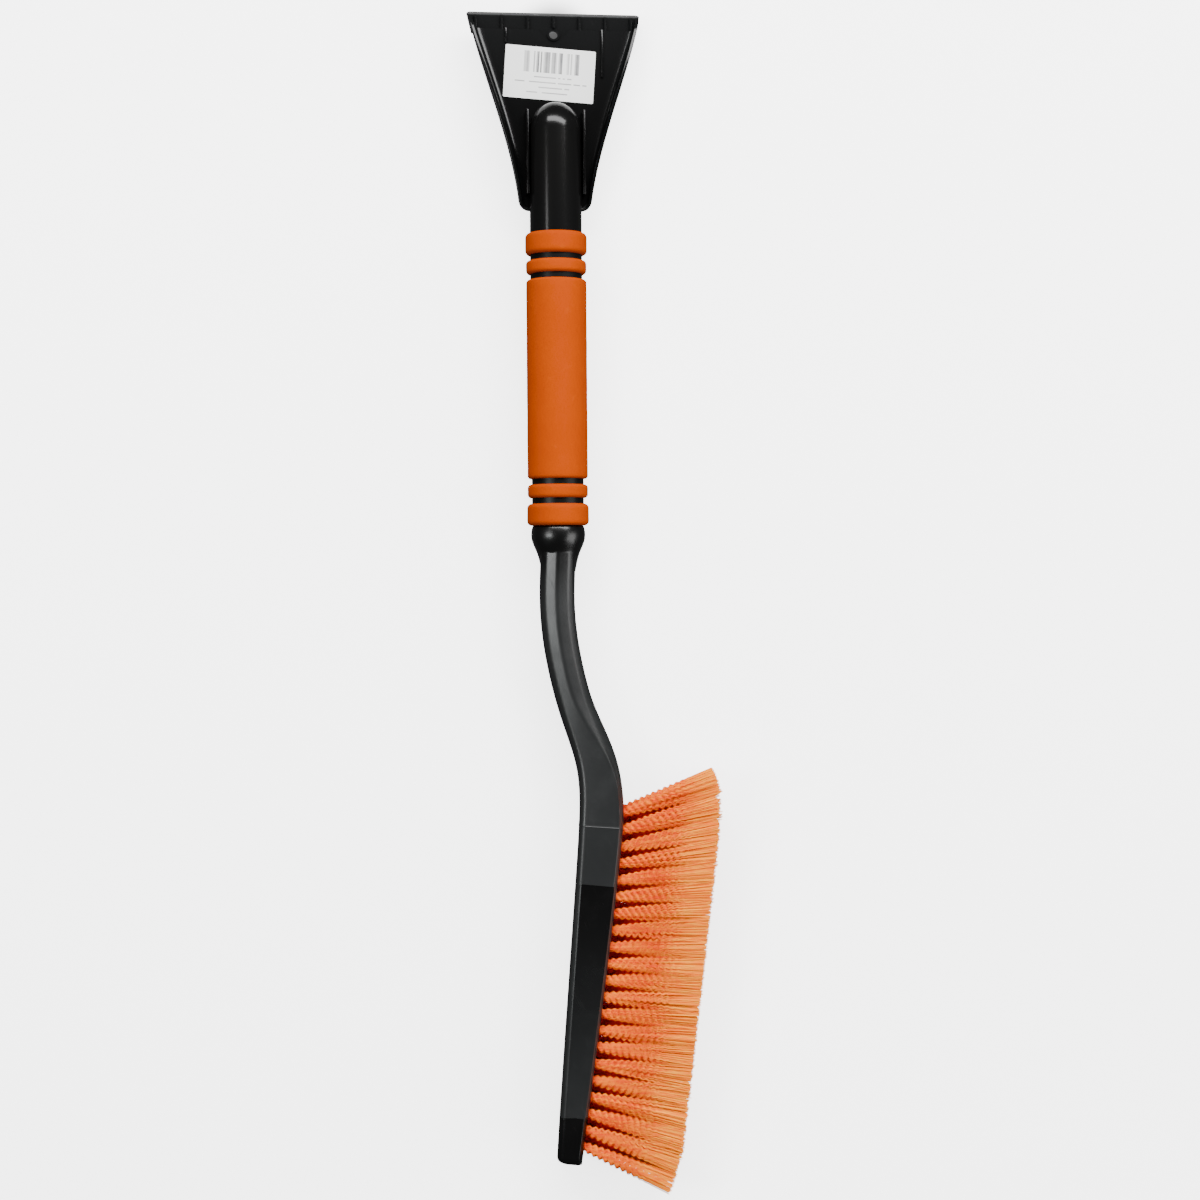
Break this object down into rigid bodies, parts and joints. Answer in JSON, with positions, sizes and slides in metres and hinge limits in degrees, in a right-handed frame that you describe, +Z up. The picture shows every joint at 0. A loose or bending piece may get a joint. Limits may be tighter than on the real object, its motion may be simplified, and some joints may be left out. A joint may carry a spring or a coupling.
{
  "type": "snow brush with ice scraper",
  "caption": "Long-handled snow brush with a crimped bristle head, a bent neck, a foam grip and a wide toothed windshield ice scraper.",
  "frame": {"origin": "under the middle of the bounding box, on the surface that the part lies on", "axes": "+Y along the handle towards the scraper's blade, +X the way the bristles point, +Z up"},
  "size_m": [0.1426, 0.6834, 0.0358],
  "materials": {
    "scraper_plastic": "black moulded polycarbonate, satin",
    "arm_plastic": "black moulded polypropylene, satin",
    "tube_black": "glossy black tube",
    "foam_orange": "orange closed-cell EVA foam, matt",
    "bristle_orange": "crimped orange monofilament with paler split ends",
    "label_white": "white sticker with plain bars",
    "pin_steel": "plain steel",
    "anchor_wire": "flat tinned wire"
  },
  "bodies": {
    "root": {"scraper_head": "scraper_plastic", "barcode_label": "label_white", "handle_tube": "tube_black", "scraper_pin": "pin_steel", "arm_pin": "pin_steel", "foam_sleeve": "foam_orange", "foam_band_upper": "foam_orange", "foam_band_lower": "foam_orange", "foam_end_ring_upper": "foam_orange", "foam_end_ring_lower": "foam_orange", "brush_arm": "arm_plastic", "tuft_anchors": "anchor_wire", "tufts_01": "bristle_orange", "tufts_02": "bristle_orange", "tufts_03": "bristle_orange", "tufts_04": "bristle_orange", "tufts_05": "bristle_orange", "tufts_06": "bristle_orange", "tufts_07": "bristle_orange", "tufts_08": "bristle_orange", "tufts_09": "bristle_orange", "tufts_10": "bristle_orange", "tufts_11": "bristle_orange", "tufts_12": "bristle_orange", "tufts_13": "bristle_orange", "tufts_14": "bristle_orange", "tufts_15": "bristle_orange", "tufts_16": "bristle_orange", "tufts_17": "bristle_orange", "tufts_18": "bristle_orange", "tufts_19": "bristle_orange", "tufts_20": "bristle_orange", "tufts_21": "bristle_orange"}
  },
  "joints": []
}
